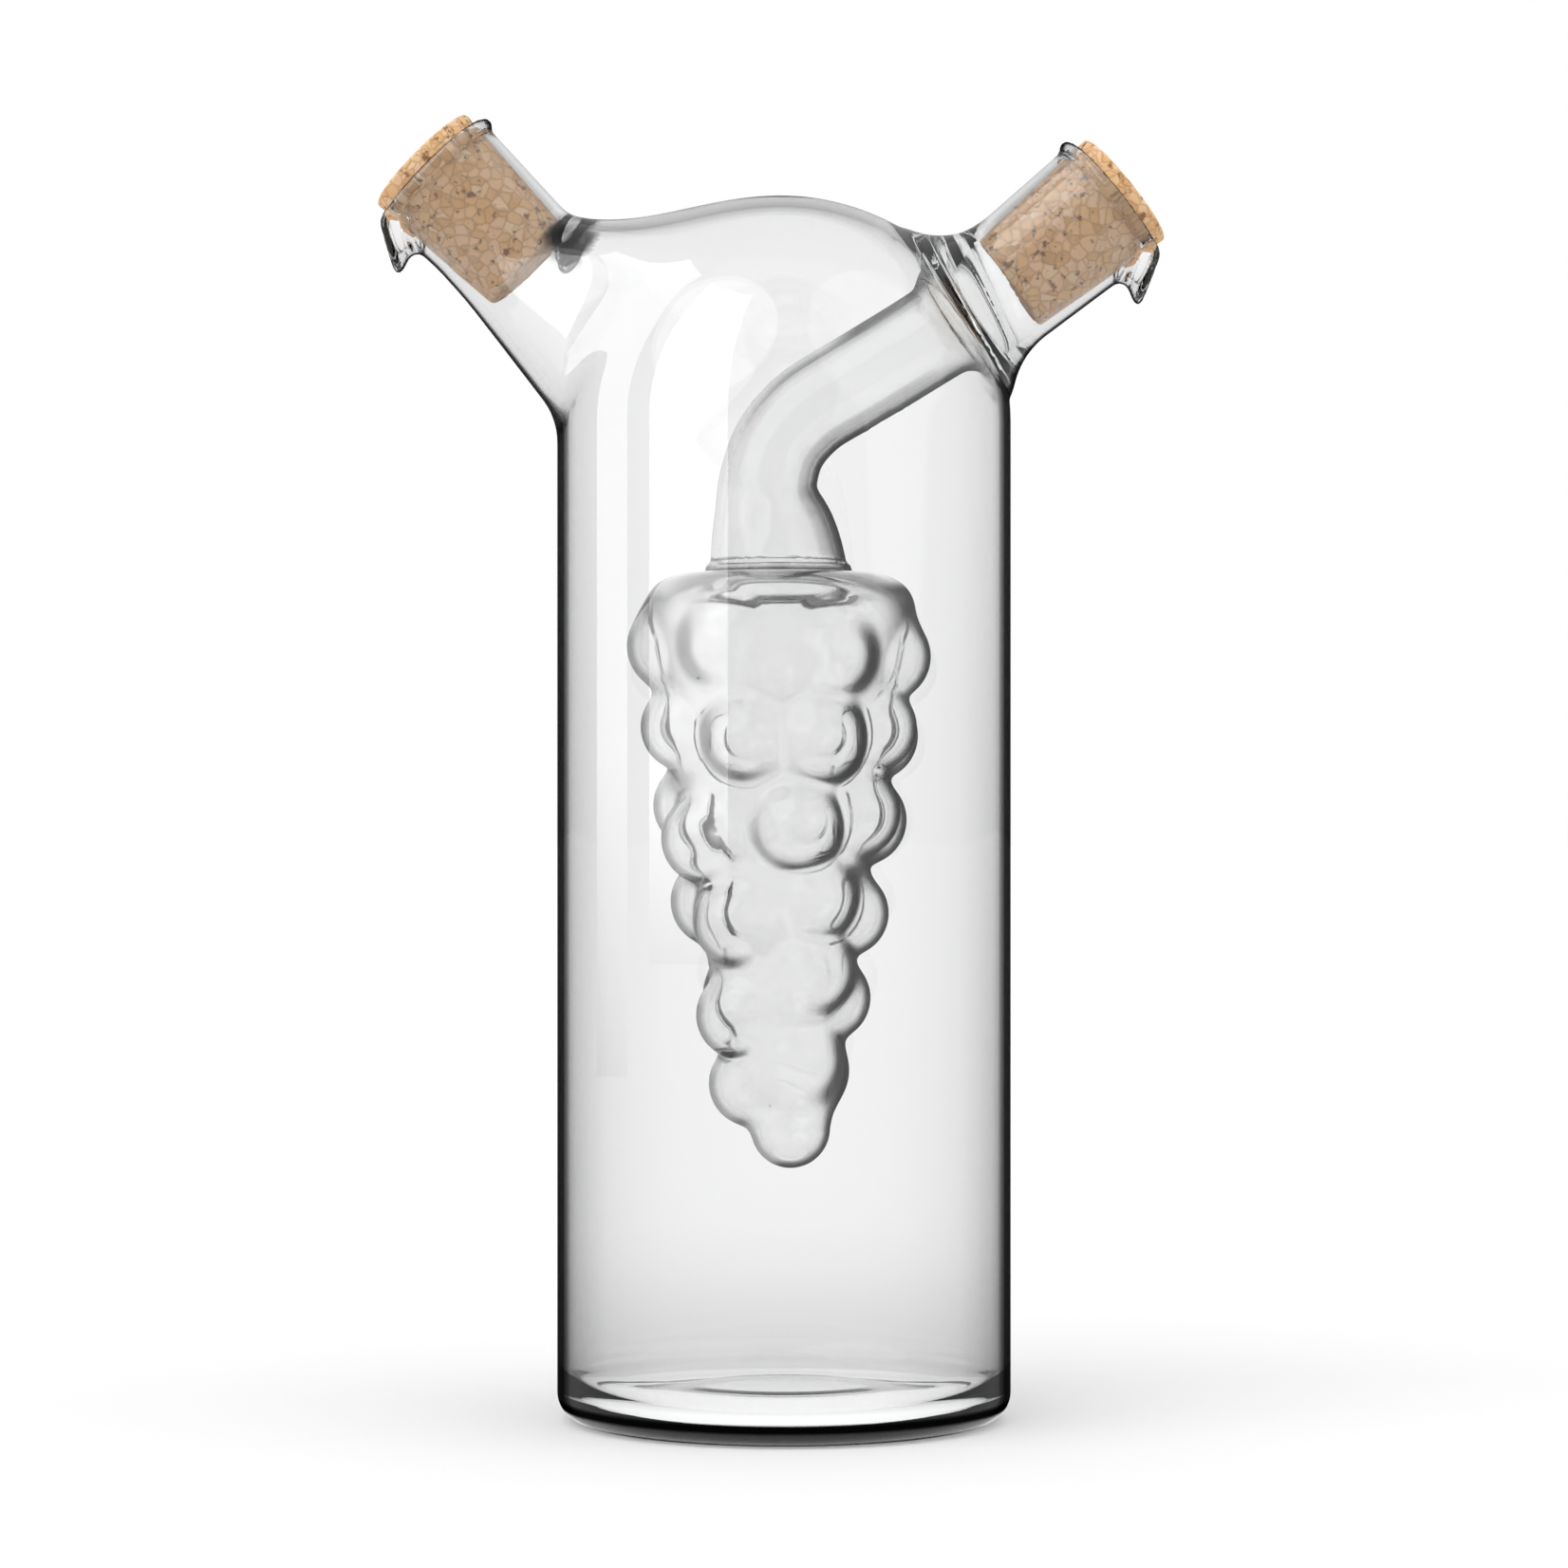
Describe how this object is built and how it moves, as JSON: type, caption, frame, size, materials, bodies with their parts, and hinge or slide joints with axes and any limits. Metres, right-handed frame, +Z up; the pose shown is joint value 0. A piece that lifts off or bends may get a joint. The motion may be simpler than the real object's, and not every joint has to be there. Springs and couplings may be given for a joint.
{
  "type": "oil and vinegar cruet",
  "caption": "Blown glass bottle for oil with a grape-shaped vessel for vinegar sealed inside it. Each chamber has a slanted pouring spout closed by a cork.",
  "frame": {"origin": "middle of the foot ring, on the surface that the bottle stands on, on the axis of the straight wall", "axes": "+Z up along the bottle's axis, +X towards the vinegar spout, -X towards the oil spout, -Y towards the front"},
  "size_m": [0.1109, 0.064, 0.184],
  "materials": {
    "clear_glass": "clear, smooth and glossy, with slightly rounded blown edges",
    "cork": "matt pressed cork of small grains, with darker pits"
  },
  "bodies": {
    "bottle": {"outer_bottle": "clear_glass", "inner_vessel": "clear_glass"},
    "oil_stopper": {"oil_cork": "cork"},
    "vinegar_stopper": {"vinegar_cork": "cork"}
  },
  "joints": [
    {"name": "oil_cork_pull", "type": "slide", "parent": "bottle", "child": "oil_stopper", "axis": [-0.7071, 0, 0.7071], "range_m": [0, 0.03]},
    {"name": "vinegar_cork_pull", "type": "slide", "parent": "bottle", "child": "vinegar_stopper", "axis": [0.7771, 0, 0.6293], "range_m": [0, 0.03]}
  ]
}
